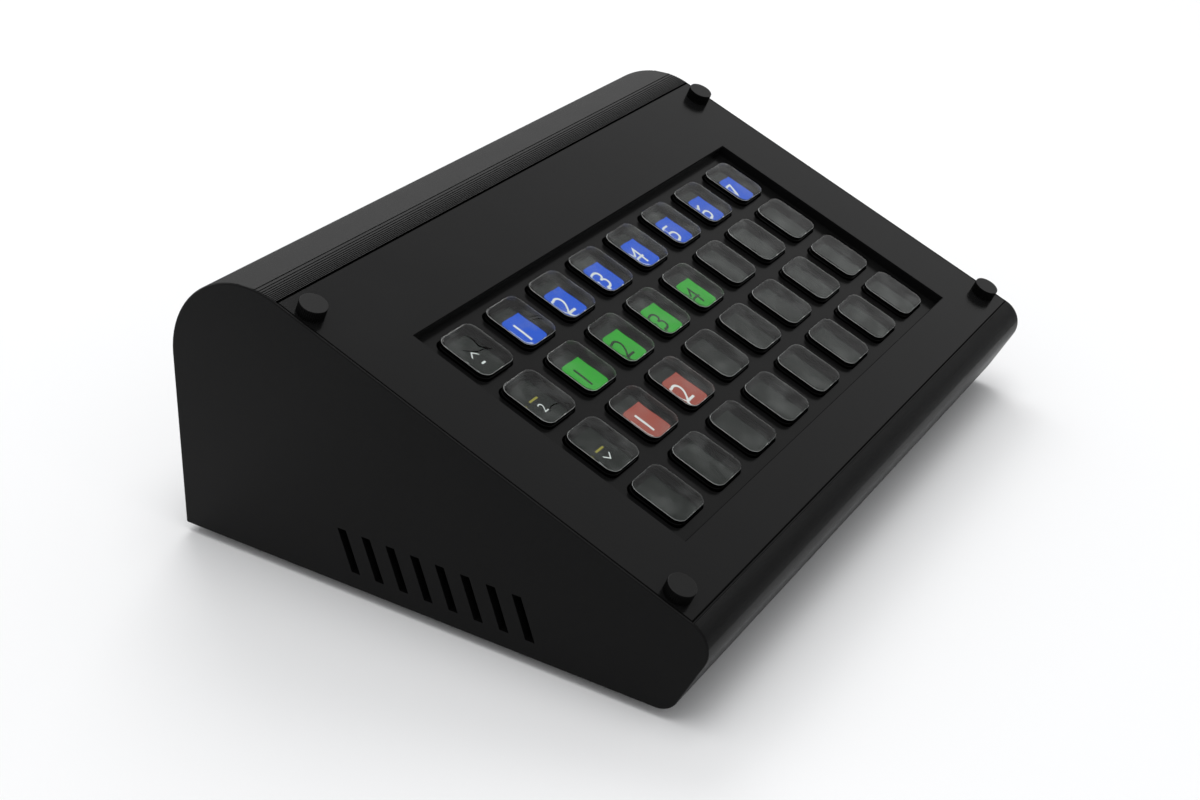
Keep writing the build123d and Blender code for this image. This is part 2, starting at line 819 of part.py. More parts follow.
# Double data socket with a tongue in each mouth
with BuildPart() as data_socket:
    add(socket_box(usb_x, usb_width, usb_height, usb_length))
    with BuildSketch(Plane.XZ.offset(-socket_face)):
        with Locations((usb_x, computer_top + usb_height / 2)):
            with GridLocations(0, usb_mouth_spacing, 1, 2):
                Rectangle(usb_mouth_width, usb_mouth_height)
                Rectangle(usb_tongue_width, usb_tongue_height, mode=Mode.SUBTRACT)
    extrude(amount=usb_mouth_depth, mode=Mode.SUBTRACT)
write(data_socket.part, "data_socket")

# Power socket
with BuildPart() as power_socket:
    with BuildSketch(Plane.XZ.offset(-socket_face)):
        with Locations((power_x, computer_top + power_height / 2)):
            SlotOverall(power_width, power_height)
    extrude(amount=power_length)
    with BuildSketch(Plane.XZ.offset(-socket_face)):
        with Locations((power_x, computer_top + power_height / 2)):
            SlotOverall(power_width - 2 * power_rim, power_height - 2 * power_rim)
    extrude(amount=power_length - power_back, mode=Mode.SUBTRACT)
write(power_socket.part, "power_socket")

# Screws that hold the computer board
with BuildPart() as board_screws:
    with BuildSketch(Plane.XY.offset(computer_top)):
        with Locations(*standoff_places):
            Circle(board_screw_head_radius)
    extrude(amount=board_screw_head_height)
    with BuildSketch(Plane.XY.offset(computer_top)):
        with Locations(*standoff_places):
            Circle(board_screw_radius)
    extrude(amount=-board_screw_length)
write(board_screws.part, "board_screws")

# Plugs of the inner lead: an elbow in the key unit's socket and an upright plug in the header
tip_width = socket_mouth_width - 2 * tip_clearance
tip_height = socket_mouth_height - 2 * tip_clearance
elbow_start = unit_length / 2 + elbow_gap
elbow_middle_x = lead_socket_x + elbow_overhang - elbow_width / 2
header_plug_bottom = computer_top + header_height
with BuildPart() as lead_plugs:
    with BuildSketch(rear_facing(elbow_middle_x, elbow_start, socket_middle_depth)):
        Rectangle(elbow_width, elbow_height)
    extrude(amount=elbow_length)
    fillet(lead_plugs.edges().filter_by(Axis.X), elbow_fillet)
    with BuildSketch(rear_facing(lead_socket_x, elbow_start, socket_middle_depth)):
        SlotOverall(tip_width, tip_height)
    extrude(amount=socket_end - tip_depth - elbow_start)
    with BuildSketch(Plane.XY.offset(header_plug_bottom)):
        with Locations((header_x, header_y)):
            Rectangle(header_width, header_length)
    extrude(amount=header_plug_height)
    with BuildSketch(Plane.XY.offset(header_plug_bottom)):
        with Locations((header_x, header_y)):
            Rectangle(
                header_width - 2 * header_wall - 2 * tip_clearance,
                header_length - 2 * header_wall - 2 * tip_clearance,
            )
    extrude(amount=-header_tip_depth)
write(lead_plugs.part, "lead_plugs")

# Inner lead from the elbow to the header, in straight runs joined by wide bends
lead_start = deck.from_local_coords(
    Vector(elbow_middle_x - elbow_width / 2, elbow_start + elbow_length / 2, -socket_middle_depth)
)
lead_end = Vector(header_x, header_y, header_plug_bottom + header_plug_height)
lead_points = [
    lead_start,
    lead_start + Vector(-lead_first_run, 0, 0),
    lead_start + Vector(-lead_sideways, lead_rearward, -lead_drop),
    lead_end + Vector(0, 0, lead_last_run),
    lead_end,
]
lead_runs = [after - before for before, after in zip(lead_points, lead_points[1:])]
lead_radii = [
    lead_bend_share
    * min(run.length, following.length)
    / tan(radians(run.get_angle(following)) / 2)
    for run, following in zip(lead_runs, lead_runs[1:])
]
with BuildPart() as data_lead:
    with BuildLine() as lead_route:
        FilletPolyline(*lead_points, radius=lead_radii)
    with BuildSketch(Plane(origin=lead_start, x_dir=(0, 1, 0), z_dir=(-1, 0, 0))):
        Circle(lead_radius)
    sweep(path=lead_route.line)
write(data_lead.part, "data_lead")
lead_length = sum(edge.length for edge in lead_route.edges())
print("runs of the lead in mm", [round(run.length, 1) for run in lead_runs])
print("bend radii of the lead in mm", [round(radius, 1) for radius in lead_radii])
print("volume of the lead in mm3", round(data_lead.part.volume, 1))
print("its section times its length", round(pi * lead_radius**2 * lead_length, 1))
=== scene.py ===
# %% [markdown]
# # A desk console with 32 display keys
#
# This lesson dresses a small control console: a black wedge-shaped housing from a 3D printer, a
# flat plate on its slope, four thumbscrews, and a grid of clear keys with a display under them.
# The solid model comes first and says where every piece is. Blender adds what the eye needs:
# layer lines, clear plastic, lit pictures, light and a camera.

# %% [markdown]
# ## Load the solid model
#
# Each piece of the solid model arrives as an object at its true place, in metres. Nothing here
# moves it. Pieces that we add ride on one of its bodies, so they follow when a key is pressed or
# a screw is turned.

# %% Load the solid model
import bpy
import json
from math import cos, pi, radians, sin
from mathutils import Matrix, Vector

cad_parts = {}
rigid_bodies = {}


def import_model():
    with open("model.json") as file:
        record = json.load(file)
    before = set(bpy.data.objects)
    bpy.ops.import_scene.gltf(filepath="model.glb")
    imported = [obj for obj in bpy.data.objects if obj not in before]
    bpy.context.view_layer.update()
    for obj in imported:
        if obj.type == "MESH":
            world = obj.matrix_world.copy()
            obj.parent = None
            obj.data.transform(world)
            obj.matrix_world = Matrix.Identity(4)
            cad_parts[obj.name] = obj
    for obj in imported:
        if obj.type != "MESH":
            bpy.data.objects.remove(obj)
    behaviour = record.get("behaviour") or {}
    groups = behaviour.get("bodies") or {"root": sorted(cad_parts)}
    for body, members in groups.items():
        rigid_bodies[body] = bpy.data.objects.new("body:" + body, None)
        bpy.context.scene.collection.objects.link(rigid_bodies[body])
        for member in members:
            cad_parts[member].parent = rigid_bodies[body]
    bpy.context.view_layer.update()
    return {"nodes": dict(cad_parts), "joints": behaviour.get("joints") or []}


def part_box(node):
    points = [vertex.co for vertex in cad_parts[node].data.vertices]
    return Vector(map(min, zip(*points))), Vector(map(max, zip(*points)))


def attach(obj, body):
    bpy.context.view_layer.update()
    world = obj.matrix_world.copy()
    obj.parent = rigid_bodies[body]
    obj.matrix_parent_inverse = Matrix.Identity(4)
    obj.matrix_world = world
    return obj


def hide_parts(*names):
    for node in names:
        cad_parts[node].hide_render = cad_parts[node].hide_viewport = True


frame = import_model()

MM = 0.001


# %% [markdown]
# ## Find the sloping deck
#
# The plate, the keys and the display all lie on one slope. We could type its place in again, but
# it is safer to read it from the model. A key's joint says which way is out of the deck. The
# display is a plain slab, so the middle of its box is its true middle, and that lies a known depth
# under the plate's top face. The boxes of the keys all have the same shape, so the distances
# between their middles are the distances between the keys.

# %% Find the sloping deck
ROWS, COLUMNS = range(1, 5), range(1, 9)
KEY_NAMES = [f"key_r{row}_c{column}" for row in ROWS for column in COLUMNS]
DISPLAY_MIDDLE = -8.625 * MM

press = next(j for j in frame["joints"] if j["name"] == "key_r1_c1_press")
out = Vector(press["axis"]).normalized()
across = Vector((1, 0, 0))
up_slope = out.cross(across)
deck_middle = sum(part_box("display_panel"), Vector()) / 2 - out * DISPLAY_MIDDLE
deck = Matrix.Translation(deck_middle) @ Matrix((across, up_slope, out)).transposed().to_4x4()

key_middles = {name: sum(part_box(name), Vector()) / 2 for name in KEY_NAMES}
grid_middle = sum(key_middles.values(), Vector()) / len(key_middles)
key_places = {
    name: ((middle - grid_middle).dot(across), (middle - grid_middle).dot(up_slope))
    for name, middle in key_middles.items()
}
print("deck middle:", [round(c / MM, 2) for c in deck_middle], "mm")
print("key pitch:", round((key_places["key_r1_c2"][0] - key_places["key_r1_c1"][0]) / MM, 2), "mm")


def place_on_deck(obj, x, y, height):
    """Put obj on the deck: x across, y up the slope, height out of the plate's top face."""
    obj.matrix_world = deck @ Matrix.Translation((x, y, height))


# %% [markdown]
# ## The camera
#
# The picture was taken from the front left with a slightly long lens, looking down at about 28
# degrees. The camera has a little roll, as a hand-held one does. Place, angles and focal length
# come from matching the corners of the plate and of the keys, so the model lands on its picture.
# Blender keeps what a thing is, such as a lens or a mesh, apart from the object that stands at a
# place. One small helper makes the object and puts it in the scene.

# %% The camera
SENSOR_WIDTH, FOCAL_LENGTH = 36, 53.8
NEAREST_SEEN = 0.01
CAMERA_PLACE = (-0.39999, -0.21596, 0.26139)
CAMERA_ANGLES = (61.708, -2.180, -59.174)


def add(name, data):
    """Make an object that shows a lens, a lamp or a mesh, and put it in the scene."""
    obj = bpy.data.objects.new(name, data)
    bpy.context.collection.objects.link(obj)
    return obj


lens = bpy.data.cameras.new("camera")
lens.sensor_width = SENSOR_WIDTH
lens.lens = FOCAL_LENGTH
lens.clip_start = NEAREST_SEEN
camera = add("camera", lens)
camera.location = CAMERA_PLACE
camera.rotation_euler = [radians(angle) for angle in CAMERA_ANGLES]
scene = bpy.context.scene
scene.camera = camera
print("camera to deck middle:", round((camera.location - deck_middle).length / MM), "mm")

# %% [markdown]
# ## Steps for materials and meshes
#
# A material is a small network of nodes. Each node does one step, and links carry its result to
# the next. The helpers below add one step each, so the recipes further on stay short and say what
# a surface is like. Every colour and bump is worked out from a point's place in the model, so no
# picture file is needed. The last helper makes a mesh from its points and faces.

# %% Steps for materials and meshes


def grey(level):
    """A colour without a tint."""
    return (level, level, level)


def new_material(name):
    """A fresh material with one Principled shader: returns the material, its nodes and links."""
    material = bpy.data.materials.new(name)
    material.use_nodes = True
    return material, material.node_tree.nodes, material.node_tree.links


def fill_in(node, links, values):
    """Fill in a node's inputs. A value is a number, a colour or another step's output."""
    for name, value in values.items():
        if isinstance(value, bpy.types.NodeSocket):
            links.new(value, node.inputs[name])
        elif isinstance(value, tuple):
            node.inputs[name].default_value = (*value, 1)
        else:
            node.inputs[name].default_value = value


def place_value(nodes):
    """The point's place in the model, the same for every piece that comes from the solid model."""
    return nodes.new("ShaderNodeTexCoord").outputs["Object"]


def calculate(nodes, links, operation, *values):
    """One arithmetic step. A value is a number or another step's output."""
    step = nodes.new("ShaderNodeMath")
    step.operation = operation
    for socket, value in zip(step.inputs, values):
        if isinstance(value, (int, float)):
            socket.default_value = value
        else:
            links.new(value, socket)
    return step.outputs[0]


def noise(nodes, links, where, size, detail=2):
    """Cloudy noise from 0 to 1, with lumps about as wide as size. More detail adds finer lumps."""
    cloud = nodes.new("ShaderNodeTexNoise")
    fill_in(cloud, links, {"Vector": where, "Scale": 1 / size, "Detail": detail})
    return cloud.outputs["Fac"]


def spread(nodes, links, value, low, high):
    """Stretch a value from 0 to 1 over low to high."""
    ramp = nodes.new("ShaderNodeMapRange")
    fill_in(ramp, links, {"Value": value, "To Min": low, "To Max": high})
    return ramp.outputs["Result"]


def tint(nodes, links, value, dark, light):
    """Mix two colours by a value: dark at 0, light at 1."""
    mixer = nodes.new("ShaderNodeMix")
    mixer.data_type = "RGBA"
    fill_in(mixer, links, {"Factor": value, "A": dark, "B": light})
    return mixer.outputs["Result"]


def raise_by(nodes, links, height, distance):
    """Turn a height from 0 to 1 into a bump of that distance, and plug it into the shader."""
    bump = nodes.new("ShaderNodeBump")
    fill_in(bump, links, {"Height": height, "Distance": distance})
    links.new(bump.outputs["Normal"], nodes["Principled BSDF"].inputs["Normal"])


def new_mesh(name, points, faces, *finishes):
    """A mesh of these points and faces, with one material slot for each finish."""
    mesh = bpy.data.meshes.new(name)
    mesh.from_pydata(points, [], faces)
    for finish in finishes:
        mesh.materials.append(finish)
    return mesh


print("a mid grey is", grey(0.5))

# %% [markdown]
# ## Table and white surroundings
#
# The console stands on a white table in white surroundings. A big pale plane takes the shadow.
# Behind it there is only the world, which the camera, mirrors and clear plastic see as plain
# white. The light that it gives is set apart from that, so the background can be white without
# washing out the black plastic.

# %% Table and white surroundings
TABLE_REACH = 4.0
SEEN_COLOUR, GIVEN_COLOUR = grey(1), (0.55, 0.555, 0.56)
scene.view_settings.view_transform = "Standard"

table_paint, nodes, links = new_material("table_white")
fill_in(nodes["Principled BSDF"], links, {
    "Base Color": (0.95, 0.95, 0.955), "Roughness": 0.7, "Specular IOR Level": 0.2,
})
corners = [(TABLE_REACH * x, TABLE_REACH * y, 0) for x, y in ((-1, -1), (1, -1), (1, 1), (-1, 1))]
table = add("table", new_mesh("table", corners, [(0, 1, 2, 3)], table_paint))

world = bpy.data.worlds.new("surroundings")
scene.world = world
world.use_nodes = True
nodes, links = world.node_tree.nodes, world.node_tree.links
nodes.clear()
seen, given = nodes.new("ShaderNodeBackground"), nodes.new("ShaderNodeBackground")
fill_in(seen, links, {"Color": SEEN_COLOUR})
fill_in(given, links, {"Color": GIVEN_COLOUR})
ray = nodes.new("ShaderNodeLightPath").outputs
camera_or_mirror = calculate(nodes, links, "MAXIMUM", ray["Is Camera Ray"], ray["Is Glossy Ray"])
chooser = nodes.new("ShaderNodeMixShader")
sees_white = calculate(nodes, links, "MAXIMUM", camera_or_mirror, ray["Is Transmission Ray"])
links.new(sees_white, chooser.inputs["Fac"])
links.new(given.outputs[0], chooser.inputs[1])
links.new(seen.outputs[0], chooser.inputs[2])
links.new(chooser.outputs[0], nodes.new("ShaderNodeOutputWorld").inputs["Surface"])
print("table:", 2 * TABLE_REACH, "m square")

# %% [markdown]
# ## Soft lamps
#
# Product pictures of this kind use large soft lamps, so shadows have no hard edge. One wide lamp
# hangs above and behind the console, to the right. It makes the bright line along the crest and
# leaves the left side dark. The other hangs over the table, a little towards the camera: it fills
# the front and makes the table nearly as white as its surroundings. Each has a place and a width
# in metres and a power in watts, and is turned to the middle of the console.

# %% Soft lamps
LAMPS = {
    "lamp_rear": ((0.9, 0.8, 1.3), 0.9, 8),
    "lamp_over": ((-0.15, -0.15, 1.6), 1.0, 10),
}
for name, (spot, size, power) in LAMPS.items():
    softbox = bpy.data.lights.new(name, "AREA")
    softbox.shape = "SQUARE"
    softbox.size = size
    softbox.energy = power
    lamp = add(name, softbox)
    lamp.location = spot
    lamp.rotation_euler = (-Vector(spot)).to_track_quat("-Z", "Y").to_euler()
    print(name, "hangs", round(Vector(spot).length, 2), "m away")

# %% [markdown]
# ## Printed black plastic
#
# The housing was built up in flat layers, each about 0.155 mm thick. On upright walls the layers
# are too fine to see one by one, so a bump does: the height above the table, counted in layers,
# bulges and falls back once for each. Two kinds of noise go with it, fine grain in the bump and
# wide clouds in colour and roughness, because no printed surface is quite even.

# %% Printed black plastic
LAYER = 0.155 * MM
GRAIN_SIZE, CLOUD_SIZE = 0.25 * MM, 12 * MM
BULGE = 0.015 * MM

printed_black, nodes, links = new_material("printed_black")
where = place_value(nodes)
split = nodes.new("ShaderNodeSeparateXYZ")
links.new(where, split.inputs[0])
turn = calculate(nodes, links, "MULTIPLY", split.outputs["Z"], pi / LAYER)
bead = calculate(nodes, links, "ABSOLUTE", calculate(nodes, links, "SINE", turn))
grain = noise(nodes, links, where, GRAIN_SIZE)
raise_by(nodes, links, calculate(nodes, links, "ADD", bead, grain), BULGE)
cloud = noise(nodes, links, where, CLOUD_SIZE, detail=3)
fill_in(nodes["Principled BSDF"], links, {
    "Base Color": tint(nodes, links, cloud, (0.0022, 0.0022, 0.0023), (0.0034, 0.0034, 0.0035)),
    "Roughness": spread(nodes, links, cloud, 0.33, 0.4),
    "Specular IOR Level": 0.075,
})
print("layers:", LAYER / MM, "mm thick")

# %% [markdown]
# ## The matt plate
#
# The plate was printed lying flat, so its face copies the print bed: even, satin and without
# lines. It mirrors the thumbscrews faintly. Fine noise in the bump breaks up the shine, and a
# cloudy change in roughness keeps the large surface from looking like paper. Its chamfered edges
# are rough, and they carry a painted shade: a near-black colour that stands in for the shade in
# the gaps and along the window's rim, so they show as fine black lines. Only they lean halfway out
# of the deck, so the way a face points picks them out.

# %% The matt plate
SPECKLE_SIZE, SPECKLE_DEPTH = 0.35 * MM, 0.02 * MM
PLATE_CLOUD = 18 * MM
HALFWAY_OUT, CLOSE_TO_IT = cos(pi / 4), 0.12

plate_matt, nodes, links = new_material("plate_matt")
where = place_value(nodes)
speckle = noise(nodes, links, where, SPECKLE_SIZE, detail=4)
raise_by(nodes, links, speckle, SPECKLE_DEPTH)
cloud = noise(nodes, links, where, PLATE_CLOUD)
lean = nodes.new("ShaderNodeVectorMath")
lean.operation = "DOT_PRODUCT"
links.new(nodes.new("ShaderNodeTexCoord").outputs["Normal"], lean.inputs[0])
lean.inputs[1].default_value = out
# Painted shade: faces that lean halfway out of the deck are the chamfers, and they get a near-black
# colour.
edge = calculate(nodes, links, "COMPARE", lean.outputs["Value"], HALFWAY_OUT, CLOSE_TO_IT)
face_colour = tint(nodes, links, cloud, (0.0044, 0.0044, 0.0045), (0.0054, 0.0054, 0.0055))
face_rough = spread(nodes, links, cloud, 0.14, 0.2)
fill_in(nodes["Principled BSDF"], links, {
    "Base Color": tint(nodes, links, edge, face_colour, grey(0.0008)),
    "Roughness": calculate(nodes, links, "MAXIMUM", face_rough, edge),
    "Specular IOR Level": 0.09,
})
print("the plate mirrors along", [round(c, 3) for c in out])

# %% [markdown]
# ## Other plastics and rubber
#
# The thumbscrews, the key unit's frame and the feet are black too, but each has its own surface:
# moulded plastic is smooth with a faint orange-peel skin, and rubber is dull with a soft sheen.
# One recipe with a few choices covers them, because real moulded parts differ in just these ways.
# The skin is given as the size and the depth of its grain in millimetres.

# %% Other plastics and rubber
SKIN_CLOUD, UNEVEN = 8 * MM, 0.04


def moulded(name, dark, light, rough, shine, skin):
    """Moulded plastic or rubber: a slightly cloudy colour, a roughness and a fine skin."""
    material, nodes, links = new_material(name)
    where = place_value(nodes)
    cloud = noise(nodes, links, where, SKIN_CLOUD)
    fill_in(nodes["Principled BSDF"], links, {
        "Base Color": tint(nodes, links, cloud, dark, light),
        "Roughness": spread(nodes, links, cloud, rough - UNEVEN, rough + UNEVEN),
        "Specular IOR Level": shine,
    })
    grain_size, grain_depth = skin
    grain = noise(nodes, links, where, grain_size * MM, detail=3)
    raise_by(nodes, links, grain, grain_depth * MM)
    return material


thumb_black = moulded("thumb_black", grey(0.004), grey(0.006), 0.42, 0.12, (0.5, 0.01))
frame_black = moulded("frame_black", grey(0.004), grey(0.006), 0.2, 0.08, (0.3, 0.003))
foot_rubber = moulded("foot_rubber", grey(0.010), grey(0.016), 0.8, 0.2, (0.6, 0.03))
membrane_rubber = moulded("membrane_rubber", grey(0.008), grey(0.012), 0.7, 0.2, (0.6, 0.01))
plug_black = moulded("plug_black", grey(0.008), grey(0.012), 0.5, 0.4, (0.4, 0.01))
chip_black = moulded(
    "chip_black", (0.010, 0.010, 0.011), (0.018, 0.018, 0.019), 0.55, 0.35, (0.3, 0.008)
)
display_glass = moulded(
    "display_glass", (0.004, 0.0045, 0.0045), (0.006, 0.0065, 0.0065), 0.12, 0.1, (5, 0.001)
)
print("finishes so far:", ", ".join(material.name for material in bpy.data.materials))

# %% [markdown]
# ## Metals
#
# Sockets, screws, inserts and the heat sink are metal. Rolled and turned metal has fine marks, so
# its colour and roughness vary in thin streaks. The streaks are noise that is stretched along one
# axis of the model. A single metal recipe takes a colour, a dullness and that axis.

# %% Metals
X_AXIS, Y_AXIS, Z_AXIS = 0, 1, 2
STREAK_SQUEEZE, DARK_SHARE = 0.04, 0.8
MARK_SIZE, MARK_DEPTH = 0.4 * MM, 0.004 * MM


def metal(name, colour, rough, streak_axis):
    """Metal with fine rolling or turning marks along one axis."""
    material, nodes, links = new_material(name)
    squeeze = nodes.new("ShaderNodeMapping")
    squeeze.inputs["Scale"].default_value[streak_axis] = STREAK_SQUEEZE
    links.new(place_value(nodes), squeeze.inputs["Vector"])
    marks = noise(nodes, links, squeeze.outputs["Vector"], MARK_SIZE, detail=3)
    darker = tuple(DARK_SHARE * c for c in colour)
    fill_in(nodes["Principled BSDF"], links, {
        "Metallic": 1.0,
        "Base Color": tint(nodes, links, marks, darker, colour),
        "Roughness": spread(nodes, links, marks, rough - 0.08, rough + 0.12),
    })
    raise_by(nodes, links, marks, MARK_DEPTH)
    return material


socket_metal = metal("socket_metal", (0.62, 0.62, 0.63), 0.3, Y_AXIS)
sheet_metal = metal("sheet_metal", (0.52, 0.52, 0.53), 0.38, X_AXIS)
screw_steel = metal("screw_steel", (0.34, 0.34, 0.35), 0.35, Z_AXIS)
insert_brass = metal("insert_brass", (0.72, 0.5, 0.2), 0.3, Z_AXIS)
sink_metal = metal("sink_metal", (0.5, 0.51, 0.53), 0.4, Y_AXIS)
contact_gold = metal("contact_gold", (0.85, 0.6, 0.24), 0.25, Y_AXIS)
print("marks:", MARK_SIZE / MM, "mm wide and", MARK_SIZE / STREAK_SQUEEZE / MM, "mm long")

# %% [markdown]
# ## Circuit boards
#
# A circuit board is green lacquer over copper. The copper tracks stand a hair above the board and
# look lighter through the lacquer. A grid of bricks with thin joints stands in for the tracks:
# from a step away the eye reads its straight lines as wiring, and it needs no picture file.

# %% Circuit boards
TRACK_LENGTH, TRACK_SPACING = 7 * MM, 1.6 * MM
TRACK_WIDTH, TRACK_HEIGHT = 0.18 * MM, 0.03 * MM

board_green, nodes, links = new_material("board_green")
tracks = nodes.new("ShaderNodeTexBrick")
fill_in(tracks, links, {
    "Vector": place_value(nodes), "Scale": 1.0,
    "Brick Width": TRACK_LENGTH, "Row Height": TRACK_SPACING, "Mortar Size": TRACK_WIDTH,
    "Color1": grey(0.0), "Color2": grey(0.15), "Mortar": grey(1),
})
lines = tracks.outputs["Color"]
fill_in(nodes["Principled BSDF"], links, {
    "Base Color": tint(nodes, links, lines, (0.006, 0.05, 0.018), (0.03, 0.15, 0.05)),
    "Roughness": 0.32,
})
raise_by(nodes, links, lines, TRACK_HEIGHT)
print("tracks:", round(TRACK_WIDTH / MM, 2), "mm wide")

# %% [markdown]
# ## Dress the solid pieces
#
# Most solid pieces already have their true shape, so they keep it and only change their finish.

# %% Dress the solid pieces
FINISHES = {
    printed_black: ["housing_shell", "base_plate"],
    plate_matt: ["top_plate"],
    frame_black: ["key_frame", "key_case"],
    membrane_rubber: ["key_membrane"],
    foot_rubber: ["rubber_feet"],
    display_glass: ["display_panel"],
    sheet_metal: ["display_backing"],
    board_green: ["key_board", "computer_board"],
    chip_black: ["key_board_chips", "computer_parts"],
    sink_metal: ["heat_sink"],
    socket_metal: ["key_board_socket", "network_socket", "data_socket", "power_socket"],
    insert_brass: ["threaded_inserts"],
    screw_steel: ["key_case_screws", "base_screws", "board_screws"],
    plug_black: ["lead_plugs", "data_lead"],
}
for finish, names in FINISHES.items():
    for name in names:
        for slot in frame["nodes"][name].material_slots:
            slot.material = finish
print("dressed", sum(len(names) for names in FINISHES.values()), "solid pieces")

# %% [markdown]
# ## Inside the rear sockets
#
# A socket is a metal shell round black plastic. The network socket has a black lining and eight
# gilded springs that slant down from its roof. The power socket and each mouth of the double data
# socket have a black tongue. All of them are straight bars that run into the socket, so one helper
# draws them from the middle of their outer end, the middle of their inner end, a width and a
# height. Depths are counted from the socket's mouth and heights from the circuit board.

# %% Inside the rear sockets
LINING, LINING_START = 0.15 * MM, 0.3 * MM
MOUTH_WIDTH, MOUTH_FLOOR, MOUTH_ROOF, MOUTH_DEPTH = 11.9 * MM, 2.75 * MM, 10.75 * MM, 13.9 * MM
CONTACTS, CONTACT_PITCH, CONTACT_WIDTH, CONTACT_THICKNESS = 8, 1.02 * MM, 0.45 * MM, 0.3 * MM
CONTACT_DEPTHS, CONTACT_DROPS = (2 * MM, 9 * MM), (0.4 * MM, 3 * MM)
DATA_TONGUE_DEPTHS, DATA_TONGUE_HEIGHTS = (-0.02 * MM, 12.9 * MM), (3.9 * MM, 11.7 * MM)
DATA_TONGUE_SIZE = (11.1 * MM, 2 * MM)
POWER_TONGUE_DEPTHS, POWER_TONGUE_HEIGHT = (0.8 * MM, 6.3 * MM), 1.65 * MM
POWER_TONGUE_SIZE = (6.4 * MM, 0.7 * MM)
BAR_CORNERS = ((-0.5, 0.5), (0.5, 0.5), (0.5, -0.5), (-0.5, -0.5))
BAR_FACES = ((0, 1, 2, 3), (7, 6, 5, 4), (0, 4, 5, 1), (1, 5, 6, 2), (2, 6, 7, 3), (3, 7, 4, 0))


def level_bar(x, z, depths, width, height):
    """A bar that runs straight in, between two depths, at one place across and one height."""
    start, end = depths
    return (x, start, z), (x, end, z), width, height


def bars_in_socket(name, socket, bars, material):
    """Bars that run into a socket, each given as outer end, inner end, width and height. An end is
    its place across from the socket's middle, its depth and its height above the board."""
    low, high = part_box(socket)
    middle = (low.x + high.x) / 2
    vertices, faces = [], []
    for outer, inner, width, height in bars:
        first = len(vertices)
        for x, depth, z in (outer, inner):
            y, z = high.y - depth, low.z + z
            for right, up in BAR_CORNERS:
                vertices.append((middle + x + right * width, y, z + up * height))
        faces += [tuple(first + corner for corner in face) for face in BAR_FACES]
    obj = add(name, new_mesh(name, vertices, faces, material))
    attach(obj, "console")


mouth_middle, mouth_height = (MOUTH_FLOOR + MOUTH_ROOF) / 2, MOUTH_ROOF - MOUTH_FLOOR
lined_width, lined_height = MOUTH_WIDTH - 2 * LINING, mouth_height - 2 * LINING
wall_x = (MOUTH_WIDTH - LINING) / 2
wall_depths, back_depths = (LINING_START, MOUTH_DEPTH), (MOUTH_DEPTH - LINING, MOUTH_DEPTH)
lining = [
    level_bar(0, MOUTH_ROOF - LINING / 2, wall_depths, MOUTH_WIDTH, LINING),
    level_bar(0, MOUTH_FLOOR + LINING / 2, wall_depths, MOUTH_WIDTH, LINING),
    level_bar(-wall_x, mouth_middle, wall_depths, LINING, lined_height),
    level_bar(wall_x, mouth_middle, wall_depths, LINING, lined_height),
    level_bar(0, mouth_middle, back_depths, lined_width, lined_height),
]
bars_in_socket("network_lining", "network_socket", lining, plug_black)
springs = []
for number in range(CONTACTS):
    x = (number - (CONTACTS - 1) / 2) * CONTACT_PITCH
    ends = [(x, depth, MOUTH_ROOF - drop) for depth, drop in zip(CONTACT_DEPTHS, CONTACT_DROPS)]
    springs.append((*ends, CONTACT_WIDTH, CONTACT_THICKNESS))
bars_in_socket("network_contacts", "network_socket", springs, contact_gold)
tongues = [level_bar(0, z, DATA_TONGUE_DEPTHS, *DATA_TONGUE_SIZE) for z in DATA_TONGUE_HEIGHTS]
bars_in_socket("data_tongues", "data_socket", tongues, plug_black)
power_tongue = level_bar(0, POWER_TONGUE_HEIGHT, POWER_TONGUE_DEPTHS, *POWER_TONGUE_SIZE)
bars_in_socket("power_tongue", "power_socket", [power_tongue], plug_black)
print("contacts:", len(springs), "tongues:", len(tongues) + 1)

# %% [markdown]
# ## The layer steps on the crest and the nose
#
# Where a printed surface lies almost level, each layer ends in a tiny step. From the front the
# steps show as dark and bright lines along the crest, close together near the plate and further
# apart towards the top. A bump can't do this: a step has to hide behind the next one when it is
# seen from the other side. So we build them, as a thin stair that follows the curve. Every tread
# is level, every riser is upright, and the outer corner is a little round, as a molten bead is. A
# small groove under each riser keeps the line between two beads dark. On the crest the risers that
# face the front also get a painted shade: a near-black colour that stands in for the shade between
# the beads. Angles on the curve are counted from straight up.

# %% The layer steps on the crest and the nose
CREST_RADIUS, NOSE_RADIUS = 25.4 * MM, 7.5 * MM
NOSE_RISE = 19.9 * MM
CREST_MEETS_PLATE, NOSE_MEETS_PLATE, STEEPEST = radians(21.4), radians(22.6), radians(80)
STAIR_END, STAIR_DEPTH = 0.4 * MM, 0.25 * MM
BEAD, GROOVE = 0.03 * MM, 0.09 * MM
BELOW_SURFACE = 0.002 * MM
FACES_FRONT = -0.6
POINTS_PER_STEP = 5
shell_low, shell_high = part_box("housing_shell")


def half_stair(middle_y, middle_z, radius, first, last, side):
    """Outline of a stair on an arc, from angle first to angle last, to the front (side -1) or to
    the rear (side 1)."""
    outer, inner = [], []
    z = middle_z + radius * cos(first) - BELOW_SURFACE
    while z - LAYER > middle_z + radius * cos(last):
        low = z - LAYER
        reach = (radius**2 - (low - middle_z) ** 2) ** 0.5
        tread = LAYER * (low - middle_z) / reach
        bead, groove = min(BEAD, tread / 3), min(GROOVE, tread / 2)
        for turn in (0, pi / 4, pi / 2):
            y = reach - bead * (1 - sin(turn))
            outer.append((middle_y + side * y, low + LAYER - bead * (1 - cos(turn))))
        for inward, rise in ((0, groove), (groove, 0)):
            outer.append((middle_y + side * (reach - inward), low + rise))
        inner += [(reach, low)] * POINTS_PER_STEP
        z = low
    shrink = 1 - STAIR_DEPTH / radius
    inner = [(middle_y + side * y * shrink, middle_z + (z - middle_z) * shrink) for y, z in inner]
    return outer, inner


